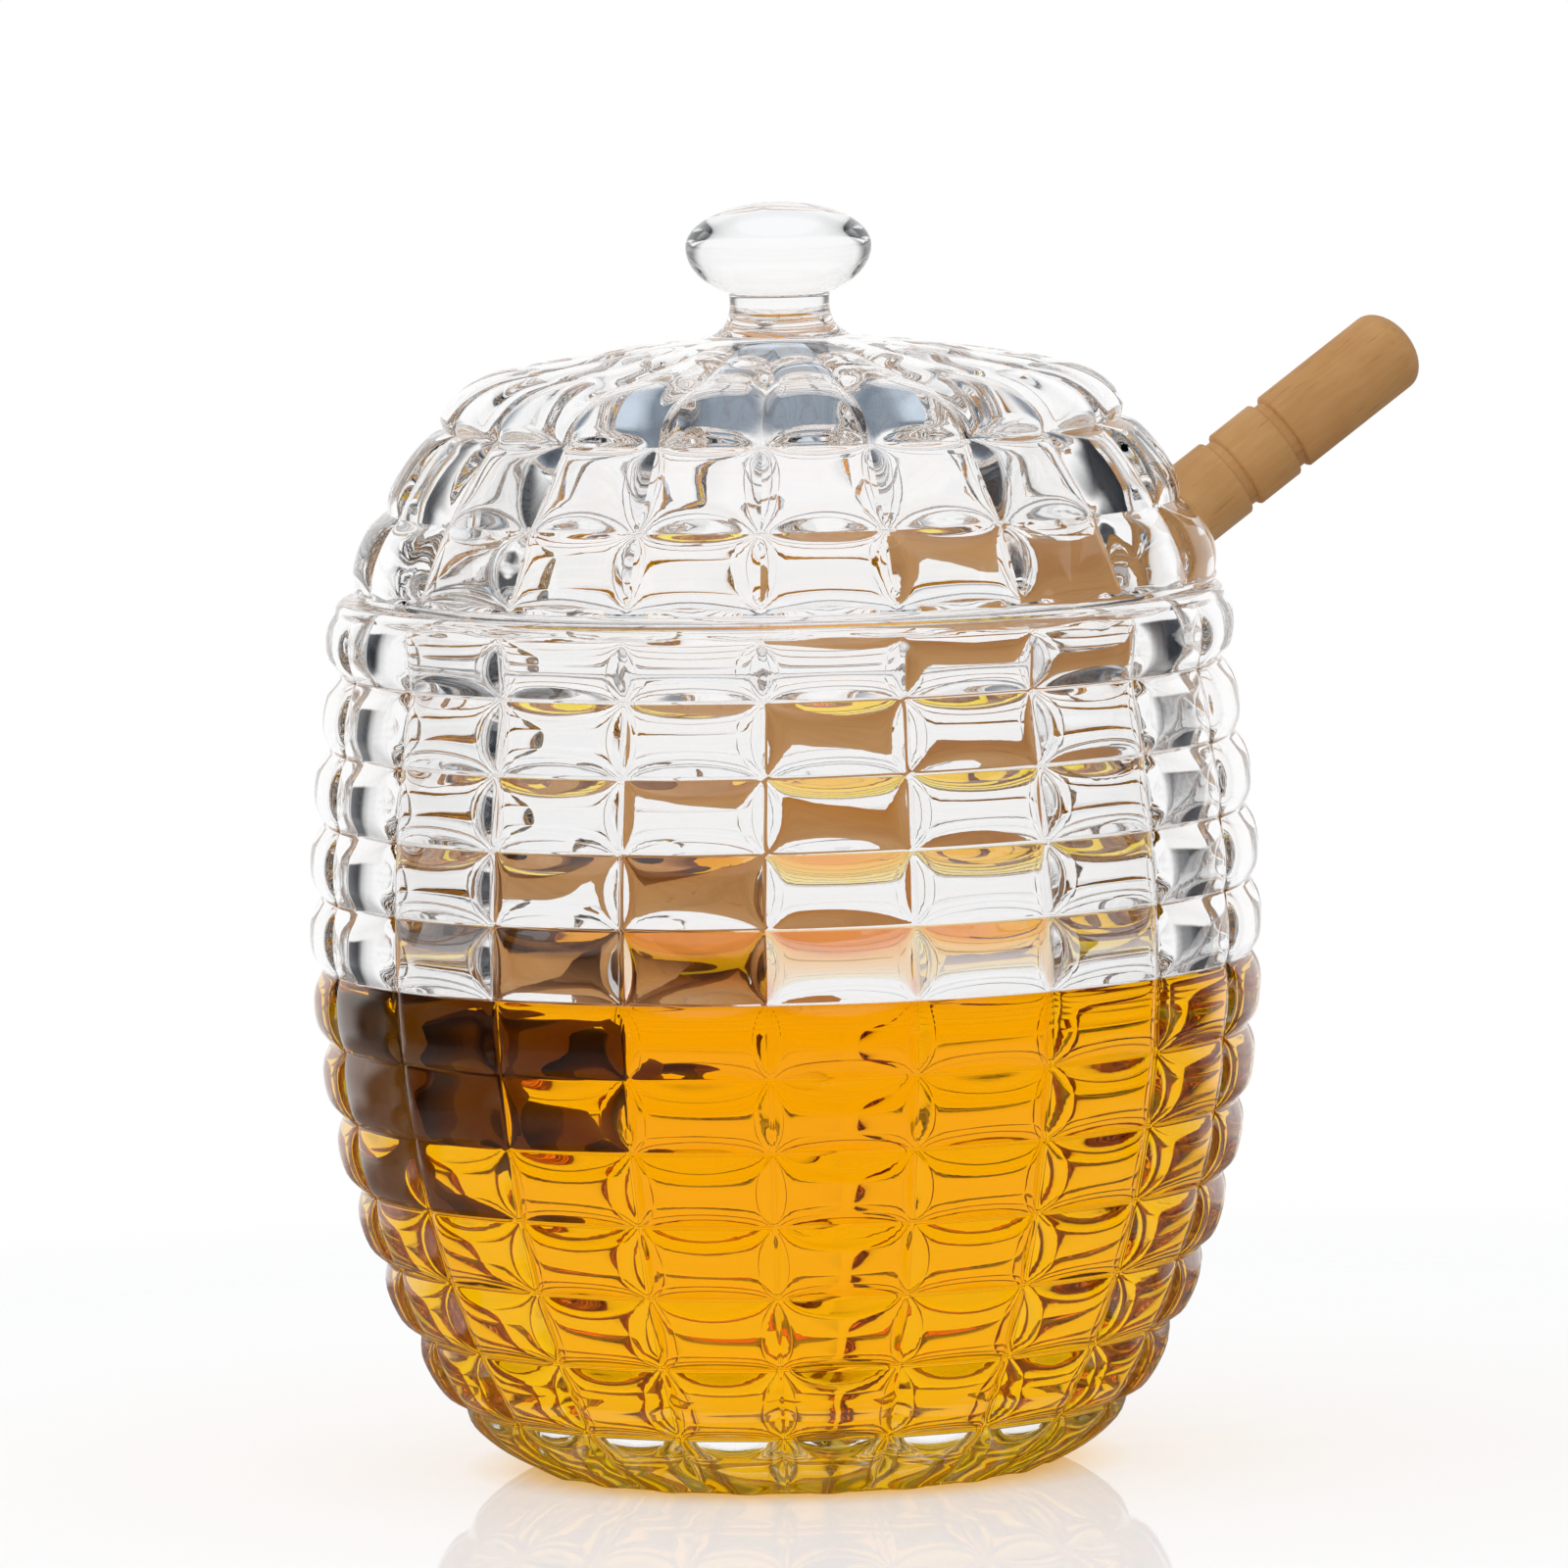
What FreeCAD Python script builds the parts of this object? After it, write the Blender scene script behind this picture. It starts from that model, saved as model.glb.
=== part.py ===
"""Honey jar of clear pressed glass with its lid, its turned beech dipper and its honey.

The jar is a barrel whose wall carries rows of cushion-shaped cells. Ring grooves part the rows,
and upright grooves part the columns and run on over the lid. The lid sits on the jar's rim with a
plug inside the mouth, and has a notch in its edge for the dipper's handle. The dipper leans in
the jar: its handle rests on the inner edge of the rim and its head against the wall.

Frame: millimetres, +Z up, origin at the centre of the jar's base, the front towards -Y.
Azimuths are counted from the front (-Y) towards +X.
"""
import FreeCAD, Part
import math
import os

V = FreeCAD.Vector
Z_AXIS = V(0, 0, 1)
POLE_FLAT = 0.4              # domes end in a flat of this radius on their axis

# ---- Jar: outside ----
jar_height = 91.5            # base to rim
widest_z = 56.5              # height of the widest ring
valley_radius = 48.5         # at the bottom of the grooves, on the widest ring
barrel_upper_half = 84.0     # half-height of the ellipse that the valleys follow above widest_z
barrel_lower_half = 71.0     # and below it
base_radius = 27.0           # flat face that the jar stands on
base_row_height = 6.9        # base to the first ring groove
row_count = 11               # full rows of cells above the base row
column_count = 20            # columns of cells round the jar
column_turn = -2.4           # azimuth of the first upright groove, degrees

# ---- Cells ----
cell_rise = 1.45             # middle of a cell above its grooves
bevel_run = 1.5              # width of the bevel beside a ring groove
bevel_rise = 1.05            # height of that bevel
base_row_rise = 0.9          # bulge of the base row
upright_extra = 0.12         # upright grooves are this much deeper than the ring grooves
upright_reach = 5.0          # how far an upright groove's cutter reaches out of the glass
upright_lean = 50.0          # on the lid the cutters point this much upwards, degrees
upright_flare = 1.4          # half-width of an upright groove for each millimetre of depth
groove_run_out = 2.0         # height over which an upright groove fades out at a rim
rim_exit = (1.3, 0.2)        # there it leaves the jar this far outwards and upwards for each mm

# ---- Jar: inside ----
wall = 3.6                   # glass behind the grooves, on the widest ring
rim_wall = 2.2               # and at the rim
floor_thickness = 6.9
floor_radius = 25.0          # flat of the inner floor
inner_lower_half = 68.5      # half-height of the inner ellipse below widest_z
floor_corner_height = 6.1    # the wall turns into the floor's round corner at this height above it
rim_round = 1.5              # rounding of the rim's inner edge
rim_outer_round = 1.0        # rounding of the outer edges of jar and lid, where they meet
rim_ledge = 1.3              # the jar's flat rim ends this far outside the grooves

# ---- Lid ----
lid_shift = 0.6              # the lid sits this much off centre towards +X
lid_turn = -1.0              # and is turned this much, degrees
lid_ledge = 0.1              # the lid's flat edge ends this far inside the grooves
lid_groove_heights = (9.1, 17.5)     # ring grooves, above the lid's edge
top_groove_inset = 6.0       # the upper ring groove is this much smaller than the lower one
shoulder_width = 9.7         # half-axes of the ellipse that the top row's shoulder follows
shoulder_height = 6.0
shoulder_start = 8.0         # the shoulder begins this many degrees above the ellipse's middle
shoulder_lip = 0.6           # the ellipse stands out this much past the groove below it
shoulder_valley = 1.1        # depth of the upright grooves over the shoulder
shoulder_stations = (35, 60, 90)     # where those grooves are set out, degrees up the ellipse
crown_groove_length = 9.2    # the upright grooves run this far onto the crown
crown_exit_rise = 0.5        # and leave it by this much over the run-out
lid_exit = (1.0, 0.2)        # they leave the lid's edge this far outwards and downwards for each mm
crown_rise = 3.2             # from the shoulder up to the knob's foot
lid_wall = 3.8
lid_low_wall = 4.56          # the lid's wall at its lower ring groove
hollow_rise = 2.3            # doming of the hollow's roof
hollow_foot_height = 2.5     # the hollow's side begins this far above the lid's edge
hollow_foot_inset = 0.8      # and this far outside the plug's inner edge
plug_gap = 0.9               # between the plug and the mouth
plug_depth = 3.0
plug_wall = 3.6
plug_taper = 0.3
notch_side_gap = 1.3         # between the notch and the dipper's handle
notch_top_gap = 2.9
notch_depth = 12.0           # the notch's cutter starts this far inside the mouth

# ---- Knob ----
foot_radius = 7.2
foot_height = 2.4            # from the crown to the neck's straight part
foot_flare = 0.5             # the foot's curve stands out this much at its middle
neck_radius = 5.2
neck_height = 1.3
knob_radius = 9.7
knob_half_height = 4.65
knob_centre_height = 5.55    # middle of the head above the neck's straight part
knob_join_angle = 55.0       # below its middle, where the head turns into the neck, degrees
throat_rise = 0.75           # the neck begins to widen this far below the head
throat_flare = 0.12

# ---- Honey ----
honey_level = 52.6

# ---- Dipper ----
dipper_length = 132.6
dipper_slope = 35.2          # above the level, degrees
dipper_azimuth = 105.6
handle_radius = 4.5
handle_cap = 3.0             # length of the handle's rounded end
handle_ring_places = (18.0, 24.6)    # decorative rings, from the handle's end
handle_ring_width = 1.35
handle_ring_depth = 0.55
rest_gap = 0.08              # handle to rim and head to wall
head_length = 35.0
head_radius = 11.4
head_end_radius = 8.2        # radius of the first and last disc
head_disc_count = 7
head_slot_width = 2.2
head_core_radius = 5.0
head_shoulder = 2.0          # length of the slope from the last disc to the handle
disc_round = 1.0             # the first disc's bevel
disc_bulge = 0.35
ring_slant = 0.2             # the rings' sides lean by this much
head_stations = 8            # places along the head's lower half where its room is measured

row_pitch = (jar_height - base_row_height) / row_count
groove_heights = [base_row_height + row_pitch * i for i in range(row_count)]
lid_z = jar_height
column_pitch = 360.0 / column_count
mid_cell = column_turn + column_pitch / 2
inner_radius = valley_radius - wall
slope = math.radians(dipper_slope)


def valley_at(z):
    """Radius of the barrel at the bottom of its grooves."""
    half = barrel_upper_half if z > widest_z else barrel_lower_half
    return valley_radius * math.sqrt(1 - ((z - widest_z) / half) ** 2)


mouth_radius = valley_at(jar_height) - rim_wall
plug_radius = mouth_radius - plug_gap
lower_groove = valley_at(lid_z + lid_groove_heights[0])
upper_groove = lower_groove - top_groove_inset
crown_radius = upper_groove + shoulder_lip - shoulder_width
crown_z = lid_z + lid_groove_heights[1] + shoulder_height
foot_z = crown_z + crown_rise
rest_radius = mouth_radius + rim_round
cross_z = jar_height - rim_round - rest_radius * math.tan(slope)
cross_z += (rim_round + handle_radius + rest_gap) / math.cos(slope)


def inner_at(z):
    """Radius of the jar's smooth inner wall."""
    if z > widest_z:
        drop = 1 - (mouth_radius / inner_radius) ** 2
        share = (z - widest_z) / (jar_height - rim_round - widest_z)
        return inner_radius * math.sqrt(1 - drop * share ** 2)
    return inner_radius * math.sqrt(1 - ((z - widest_z) / inner_lower_half) ** 2)


def point(radius, z):
    return V(radius, 0, z)


def line(a, b):
    return Part.LineSegment(a, b).toShape()


def arc(a, b, c):
    return Part.Arc(a, b, c).toShape()


def spline(points):
    curve = Part.BSplineCurve()
    curve.interpolate(points)
    return curve.toShape()


def oval(centre, half_width, half_height, start, end):
    """Part of a wide ellipse in the XZ plane, from one angle to another, in degrees above +X."""
    whole = Part.Ellipse(centre + V(half_width, 0, 0), centre + V(0, 0, half_height), centre)
    return Part.ArcOfEllipse(whole, math.radians(start), math.radians(end)).toShape()


def revolved(edges, seam=0):
    """Solid of revolution about Z from a closed outline in the XZ plane, its seam turned."""
    face = Part.Face(Part.Wire(Part.__sortEdges__(edges)))
    solid = face.revolve(V(0, 0, 0), Z_AXIS, 360).rotated(V(0, 0, 0), Z_AXIS, seam)
    return solid if solid.Volume > 0 else solid.reversed()


def cushion(low, high):
    """One row's outline between two ring grooves: bevel, domed middle, bevel."""
    along = (high - low).normalize()
    out = V(along.z, 0, -along.x)
    foot = low + along * bevel_run + out * bevel_rise
    head = high - along * bevel_run + out * bevel_rise
    top = (low + high) * 0.5 + out * cell_rise
    return [line(low, foot), arc(foot, top, head), line(head, high)]


def rim_row(low, edge, round_radius, upward):
    """The row beside a rim: a bevel at its groove, a dome, and a rounded outer edge at the rim."""
    side = 1 if upward else -1
    turn = point(edge.x + round_radius, edge.z - side * round_radius)
    along = (turn - low).normalize()
    out = V(abs(along.z), 0, -along.x * side)
    foot = low + along * bevel_run + out * bevel_rise
    top = (foot + turn) * 0.5 + out * (cell_rise - bevel_rise)
    bend = round_radius * math.sqrt(0.5)
    round_middle = point(edge.x + bend, edge.z - side * (round_radius - bend))
    return [line(low, foot), arc(foot, top, turn), arc(turn, round_middle, edge)]


def upright_cutters(valley_points, lean, turn):
    """V-shaped cutters along the valleys; lean tilts the V's mouth upwards, in degrees."""
    spine = spline(valley_points)
    out = V(math.cos(math.radians(lean)), 0, math.sin(math.radians(lean))) * upright_reach
    aside = V(0, upright_flare * upright_reach, 0)
    left, right = out + aside, out - aside
    far_edge = spine.translated(left)
    faces = [spine.extrude(left), spine.extrude(right), far_edge.extrude(aside * -2)]
    for tip in (valley_points[0], valley_points[-1]):
        faces.append(Part.Face(Part.makePolygon([tip, tip + left, tip + right, tip])))
    shell = Part.makeShell(faces)
    shell.sewShape()
    wedge = Part.makeSolid(shell)
    if wedge.Volume < 0:
        wedge.reverse()
    first = column_turn + turn - 90
    return [wedge.rotated(V(0, 0, 0), Z_AXIS, first + column_pitch * i) for i in range(column_count)]


def jar_inside():
    """Outline of the jar's inside, from the floor's centre to just under the rim's rounding."""
    steps = 8
    low, high = floor_thickness + floor_corner_height, jar_height - rim_round
    heights = [low + (high - low) * i / steps for i in range(steps + 1)]
    side = spline([point(inner_at(z), z) for z in heights])
    floor = line(point(0, floor_thickness), point(floor_radius, floor_thickness))
    return [floor, floor_corner(), side]


def floor_corner():
    """Round corner between the inner floor and the wall, tangent to both."""
    start = point(floor_radius, floor_thickness)
    top = floor_thickness + floor_corner_height
    end = point(inner_at(top), top)
    step = 0.1
    rise = V(inner_at(top + step) - inner_at(top), 0, step)
    curve = Part.BSplineCurve()
    curve.interpolate([start, end], InitialTangent=V(end.x - start.x, 0, 0),
                      FinalTangent=rise.normalize() * (end.z - start.z))
    return curve.toShape()


def make_jar():
    grooves = [point(valley_at(z), z) for z in groove_heights]
    base_edge = point(base_radius, 0)
    base_out = (grooves[0] - base_edge).normalize()
    base_out = V(base_out.z, 0, -base_out.x)
    base_middle = (base_edge + grooves[0]) * 0.5 + base_out * base_row_rise
    outline = [line(point(0, 0), base_edge), arc(base_edge, base_middle, grooves[0])]
    for low, high in zip(grooves, grooves[1:]):
        outline += cushion(low, high)
    rim_edge = point(valley_at(jar_height) + rim_ledge, jar_height)
    outline += rim_row(grooves[-1], rim_edge, rim_outer_round, True)
    lip = rim_round * (1 - math.sqrt(0.5))
    lip_out = point(mouth_radius + rim_round, jar_height)
    lip_low = point(mouth_radius, jar_height - rim_round)
    lip_middle = point(mouth_radius + lip, jar_height - lip)
    outline += [line(rim_edge, lip_out), arc(lip_out, lip_middle, lip_low)]
    outline += jar_inside() + [line(point(0, floor_thickness), point(0, 0))]
    body = revolved(outline, mid_cell)
    below = (base_edge - grooves[0]).normalize() * groove_run_out
    valley = [base_edge + below]
    valley += [point(valley_at(z) - upright_extra, z) for z in groove_heights]
    fade = jar_height - 2 * groove_run_out
    valley.append(point(valley_at(fade) - upright_extra, fade))
    valley.append(rim_edge + V(rim_exit[0], 0, rim_exit[1]) * groove_run_out)
    return body.cut(upright_cutters(valley, 0, 0))


def crown_at(radius):
    """Height of the lid's smooth crown."""
    return crown_z + crown_rise * (crown_radius - radius) / (crown_radius - foot_radius)


def knob_outline():
    """A flared foot, a neck and a head that is an ellipse in section."""
    neck_low = point(neck_radius, foot_z + foot_height)
    neck_high = point(neck_radius, neck_low.z + neck_height)
    flare = point(neck_radius + foot_flare, foot_z + foot_height / 2)
    centre = point(POLE_FLAT, neck_high.z + knob_centre_height)
    head = oval(centre, knob_radius - POLE_FLAT, knob_half_height, -knob_join_angle, 90)
    head_low = head.valueAt(head.FirstParameter)
    throat = point(neck_radius + throat_flare, neck_high.z + throat_rise)
    edges = [arc(point(foot_radius, foot_z), flare, neck_low), line(neck_low, neck_high)]
    edges += [spline([neck_high, throat, head_low]), head]
    return edges, head.valueAt(head.LastParameter)


def lid_underside(edge, top):
    """Seat on the jar's rim, the plug, and the hollow up to the axis."""
    plug_foot = point(plug_radius - plug_taper, lid_z - plug_depth)
    plug_inner = point(plug_radius - plug_wall, lid_z - plug_depth)
    side = point(plug_inner.x + hollow_foot_inset, lid_z + hollow_foot_height)
    heights = [lid_z + h for h in lid_groove_heights]
    roof = [side, point(lower_groove - lid_low_wall, heights[0])]
    roof.append(point(upper_groove - lid_wall, heights[1] - lid_wall / 2))
    roof.append(point(crown_radius - lid_wall, crown_z - lid_wall))
    roof.append(point(POLE_FLAT, crown_z - lid_wall + hollow_rise))
    edges = [line(edge, point(plug_radius, lid_z)), line(point(plug_radius, lid_z), plug_foot)]
    edges += [line(plug_foot, plug_inner), line(plug_inner, side)]
    axis_low, axis_high = point(0, roof[-1].z), point(0, top.z)
    edges += [spline(roof), line(roof[-1], axis_low), line(axis_low, axis_high)]
    return edges + [line(axis_high, top)]


def make_lid():
    low_groove = point(lower_groove, lid_z + lid_groove_heights[0])
    high_groove = point(upper_groove, lid_z + lid_groove_heights[1])
    edge = point(valley_at(lid_z) - lid_ledge, lid_z)
    centre = point(crown_radius, high_groove.z)
    shoulder = oval(centre, shoulder_width, shoulder_height, shoulder_start, 90)
    knob, top = knob_outline()
    outline = rim_row(low_groove, edge, rim_outer_round, False)
    outline += cushion(low_groove, high_groove)
    outline += [line(high_groove, shoulder.valueAt(shoulder.FirstParameter)), shoulder]
    outline += [line(point(crown_radius, crown_z), point(foot_radius, foot_z))] + knob
    outline += lid_underside(edge, top)
    body = revolved(outline, mid_cell + lid_turn)
    fade = lid_z + 2 * groove_run_out
    valley = [edge + V(lid_exit[0], 0, -lid_exit[1]) * groove_run_out, point(valley_at(fade), fade)]
    valley += [groove - V(upright_extra, 0, 0) for groove in (low_groove, high_groove)]
    width, height = shoulder_width - shoulder_valley, shoulder_height - shoulder_valley
    for angle in shoulder_stations:
        turn = math.radians(angle)
        valley.append(centre + V(width * math.cos(turn), 0, height * math.sin(turn)))
    end = crown_radius - crown_groove_length
    valley.append(point(end, crown_at(end)))
    end -= groove_run_out
    valley.append(point(end, crown_at(end) + crown_exit_rise))
    body = body.cut(upright_cutters(valley, upright_lean, lid_turn))
    body.translate(V(lid_shift, 0, 0))
    return body.cut(notch_cutter())


def notch_cutter():
    """U-shaped cutter through the lid's edge and plug, in line with the dipper's handle."""
    inner, outer = mouth_radius - notch_depth, valley_at(lid_z) + upright_reach
    handle_z = cross_z + valley_at(lid_z) * math.tan(slope)
    half = handle_radius + notch_side_gap
    top = handle_z + handle_radius / math.cos(slope) + notch_top_gap
    low = lid_z - plug_depth - 1
    sides = [(-half, low), (half, low), (half, top - half), (-half, top - half)]
    corners = [V(inner, y, z) for y, z in sides]
    edges = [line(corners[0], corners[1]), line(corners[1], corners[2])]
    edges += [arc(corners[2], V(inner, 0, top), corners[3]), line(corners[3], corners[0])]
    cutter = Part.Face(Part.Wire(edges)).extrude(V(outer - inner, 0, 0))
    return cutter.rotated(V(0, 0, 0), Z_AXIS, dipper_azimuth - 90)


def head_at(place):
    """Radius of the dipper's head at a place along it."""
    share = 2 * place / head_length - 1
    return head_radius - (head_radius - head_end_radius) * share ** 2


def dipper_outline():
    """Half outline of the dipper, from the head's end at 0 up its own axis."""
    slots = head_disc_count - 1
    disc = (head_length - slots * head_slot_width) / head_disc_count
    corners = [(0, 0), (head_end_radius - disc_round, 0)]
    edges = []

    def flush():
        """Straight lines through the corners so far; the last corner stays."""
        spots = [V(radius, 0, place) for radius, place in corners]
        edges.extend(line(a, b) for a, b in zip(spots, spots[1:]))
        del corners[:-1]

    for i in range(head_disc_count):
        low = i * (disc + head_slot_width)
        high = low + disc
        corners.append((head_at(low), low if i else disc_round))
        flush()
        crest = V(head_at((low + high) / 2) + disc_bulge, 0, (low + high) / 2)
        edges.append(arc(V(corners[0][0], 0, corners[0][1]), crest, V(head_at(high), 0, high)))
        corners[:] = [(head_at(high), high)]
        if i < slots:
            corners += [(head_core_radius, high), (head_core_radius, high + head_slot_width)]
    corners.append((handle_radius, head_length + head_shoulder))
    deep = handle_radius - handle_ring_depth
    for place in reversed(handle_ring_places):
        low = dipper_length - place
        high = low + handle_ring_width
        corners += [(handle_radius, low), (deep, low + ring_slant)]
        corners += [(deep, high - ring_slant), (handle_radius, high)]
    corners.append((handle_radius, dipper_length - handle_cap))
    flush()
    end = oval(point(POLE_FLAT, dipper_length - handle_cap), handle_radius - POLE_FLAT, handle_cap, 0, 90)
    flat = line(point(POLE_FLAT, dipper_length), point(0, dipper_length))
    return edges + [end, flat, line(point(0, dipper_length), point(0, 0))]


def head_room(back):
    """Least room round the head inside the jar, with the head's end that far below cross_z."""
    rooms = []
    for i in range(head_stations + 1):
        place = head_length / 2 * i / head_stations
        radius = head_at(place) + disc_bulge
        for side in (-1, 1):
            r = (place - back) * math.cos(slope) - side * radius * math.sin(slope)
            z = cross_z + (place - back) * math.sin(slope) + side * radius * math.cos(slope)
            rooms += [inner_at(z) - abs(r), z - floor_thickness]
    return min(rooms)


def head_end():
    """How far the head's end lies below cross_z, along the dipper, when it rests on the wall."""
    low, high = head_length, 2 * inner_radius
    halvings = 40
    for _ in range(halvings):
        middle = (low + high) / 2
        if head_room(middle) > rest_gap:
            low = middle
        else:
            high = middle
    return low


def make_dipper():
    body = revolved(dipper_outline())
    body.translate(V(0, 0, -head_end()))
    body.rotate(V(0, 0, 0), V(0, 1, 0), 90 - dipper_slope)
    body.translate(V(0, 0, cross_z))
    body.rotate(V(0, 0, 0), Z_AXIS, dipper_azimuth - 90)
    return body


def make_honey(dipper):
    """The jar's hollow up to the honey's level, less the dipper."""
    top = jar_height - rim_round
    outline = jar_inside() + [line(point(mouth_radius, top), point(0, top))]
    outline.append(line(point(0, top), point(0, floor_thickness)))
    hollow = revolved(outline, mid_cell)
    empty = Part.makeCylinder(inner_radius + 1, top - honey_level + 1, point(0, honey_level))
    return hollow.cut([empty, dipper])


def only_solid(shape):
    """The one solid of a piece."""
    if len(shape.Solids) != 1:
        raise ValueError("expected one solid, found %d" % len(shape.Solids))
    return shape.Solids[0]


def main():
    os.makedirs("parts", exist_ok=True)
    dipper = make_dipper()
    pieces = {"jar": make_jar(), "lid": make_lid(), "dipper": dipper, "honey": make_honey(dipper)}
    for name, shape in pieces.items():
        solid = only_solid(shape)
        solid.exportStep("parts/%s.step" % name)
        box = solid.BoundBox
        print("%-7s %s volume %.1f cm3, x %.1f..%.1f, y %.1f..%.1f, z %.1f..%.1f" % (
            name, "valid" if solid.isValid() else "NOT VALID", solid.Volume / 1000,
            box.XMin, box.XMax, box.YMin, box.YMax, box.ZMin, box.ZMax))


main()
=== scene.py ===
"""Looks of a honey jar: clear pressed soda-lime glass, liquid honey and a turned beech dipper.

Lengths are named in millimetres and turned to metres where a mesh or a shader needs them.
+Z is up, the origin is the centre of the jar's base and the front faces -Y. Azimuths are counted
from the front towards +X. Outlines are lists of (radius, height).
"""
import bpy
import math
import numpy as np
from mathutils import Matrix, Vector


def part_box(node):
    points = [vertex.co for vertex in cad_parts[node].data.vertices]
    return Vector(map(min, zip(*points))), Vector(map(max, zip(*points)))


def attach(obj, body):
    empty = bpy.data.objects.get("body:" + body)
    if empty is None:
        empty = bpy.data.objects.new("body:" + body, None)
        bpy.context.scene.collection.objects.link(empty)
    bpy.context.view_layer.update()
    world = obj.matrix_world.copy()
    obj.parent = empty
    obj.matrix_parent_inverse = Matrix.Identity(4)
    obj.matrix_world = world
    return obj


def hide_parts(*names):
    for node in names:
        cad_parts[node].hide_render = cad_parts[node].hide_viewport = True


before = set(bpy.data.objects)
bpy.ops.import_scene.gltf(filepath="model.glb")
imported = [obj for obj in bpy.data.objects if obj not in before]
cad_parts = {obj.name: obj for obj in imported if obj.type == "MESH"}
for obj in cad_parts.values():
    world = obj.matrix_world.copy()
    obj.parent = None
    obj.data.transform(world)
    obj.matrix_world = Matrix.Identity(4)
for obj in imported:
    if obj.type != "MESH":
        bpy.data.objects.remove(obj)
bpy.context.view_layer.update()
MM = 0.001

# ---- Jar ----
JAR_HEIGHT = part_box("jar")[1].z / MM
WIDEST_Z = 56.5              # height of the widest ring
VALLEY_RADIUS = 48.5         # bottom of the grooves on that ring
UPPER_HALF = 84.0            # half-heights of the ellipses that the groove bottoms follow
LOWER_HALF = 71.0
BASE_RADIUS = 27.0
BASE_EDGE = 1.0              # flat ring at the edge of the standing face
BASE_ROW_HEIGHT = 6.9
ROW_COUNT = 11
COLUMN_COUNT = 20
COLUMN_TURN = -2.4           # azimuth of the first upright groove, degrees
WALL = 3.6
RIM_WALL = 2.2
FLOOR_THICKNESS = 6.9
FLOOR_RADIUS = 25.0          # flat part of the inner floor
FLOOR_LEAD = 4.0             # the curve up to the wall is led in over this much of it
FLOOR_CORNER = ((31.0, 7.6), (35.2, 10.0))   # points of that curve
FLOOR_CORNER_HEIGHT = 6.1    # it meets the wall this far above the floor
INNER_LOWER_HALF = 68.5
RIM_ROUND = 1.5
OUTER_ROUND = 1.0
RIM_LEDGE = 1.3              # the rim's flat top reaches this far past the groove bottoms
JAR_WALL_STEPS = 20
WETTED_MARGIN = 0.7          # faces this near to the inner wall count as the inner wall
WETTED_DROP = 0.4            # and so do faces this far below the inner floor

# ---- Cells ----
CELL_RISE = 1.5              # crest of a cell above its grooves
DOME_ACROSS = 0.72           # how much of the rise the dome loses towards a cell's sides
DOME_UP = 0.70               # and towards its top and bottom
RING_BEVEL = 0.74            # rise of the bevels beside a ring groove, per millimetre
UPRIGHT_BEVEL = 0.80         # and beside an upright groove
BEVEL_SOFTNESS = 0.16        # fire-polished edges between bevels and dome
UPRIGHT_EXTRA = 0.12         # upright grooves are this much deeper
CROWDING = 0.55              # how much closer points stand near a groove
ROW_STEPS = 14               # points over one row of cells
COLUMN_STEPS = 18            # points across one cell
RIM_STEP = 0.2               # the bevel beside a rim stops this far above its groove
RIM_FALL = 5                 # the dome beside a rim falls by this power of its place
GROOVE_FADE = 1.7            # height over which upright grooves run out at a rim
GROOVE_FADE_SLOPE = 0.5      # rise of the groove there, per millimetre
BASE_BULGE = 1.05            # crest of the base row
BASE_BULGE_SPAN = 0.82       # share of a half wave that its bulge takes
BASE_LIFT = 0.25             # and it rises by this much more towards the first ring groove
BASE_GROOVE_FADE = 0.25      # upright grooves are this much shallower at the standing face

# ---- Lid ----
LID_SHIFT = 0.6              # the lid sits this far off the jar's axis, towards +X
LID_TURN = -1.0              # and this many degrees round
LID_GROOVES = (9.1, 17.5)    # heights of its ring grooves above the jar's rim
LID_ROW_STEPS = 16
TOP_GROOVE_INSET = 6.0       # the upper groove's radius is this much less than the lower one's
SHOULDER_WIDTH = 9.7
SHOULDER_HEIGHT = 6.0
SHOULDER_LIP = 0.6           # the shoulder stands out this far past the upper groove
SHOULDER_VALLEY = 1.1        # depth of the upright grooves over the shoulder
SHOULDER_STEPS = 20
SHOULDER_CROWDING = 1.25     # power that draws its points towards the ring groove
SHOULDER_BEVEL = 0.9         # rise of the bevel above the ring groove, per millimetre
SHOULDER_START = 0.15        # rise at the groove itself
CROWN_RISE = 3.2
CROWN_GROOVE = 9.2           # length over which the grooves fade on the crown
CROWN_STEPS = 8
CROWN_FADE = 1.2             # power of their fading
CROWN_DOME = 0.4             # rise of the cells over the crown's plain slope
NO_BEVEL = 9.0               # higher than any dome, so that no ring bevel cuts it
CROWN_LEAD = (6, 2)          # the plain crown has points this far outside the foot
LID_WALL = 3.8
LID_LOW_WALL = 4.56          # at the lower groove
LID_LEDGE = 0.1              # the seat ends this far inside the jar's groove bottoms
LID_FILLET = 0.4
PLUG_GAP = 0.9               # between the plug and the jar's mouth
PLUG_DEPTH = 3.0
PLUG_WALL = 3.6
PLUG_FILLET = (0.2, 0.3)     # width and height of the curve at its top
PLUG_DRAFT = 0.3             # it narrows by this much on its way down
PLUG_CHAMFER = (0.8, 0.5)    # width and height of its lower edge
ROOF_STEP = (0.8, 2.5)       # the inside, just above the plug: outwards from it, and above the rim
ROOF_RISE = 2.3              # the inside is this much higher in its middle
FOOT_RADIUS = 7.2
FOOT_HEIGHT = 2.4
FOOT_CURVE = (5.9, 1.0)      # radius and height of a point between foot and neck
NECK_RADIUS = 5.2
NECK_HEIGHT = 1.3
NECK_FLARE = 0.1             # the neck is this much wider at its lower end
THROAT = (0.12, 0.75)        # a point this far outside and above the neck's top
KNOB_RADIUS = 9.7
KNOB_HALF_HEIGHT = 4.65
KNOB_LOWER_HALF = 5.8
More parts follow.
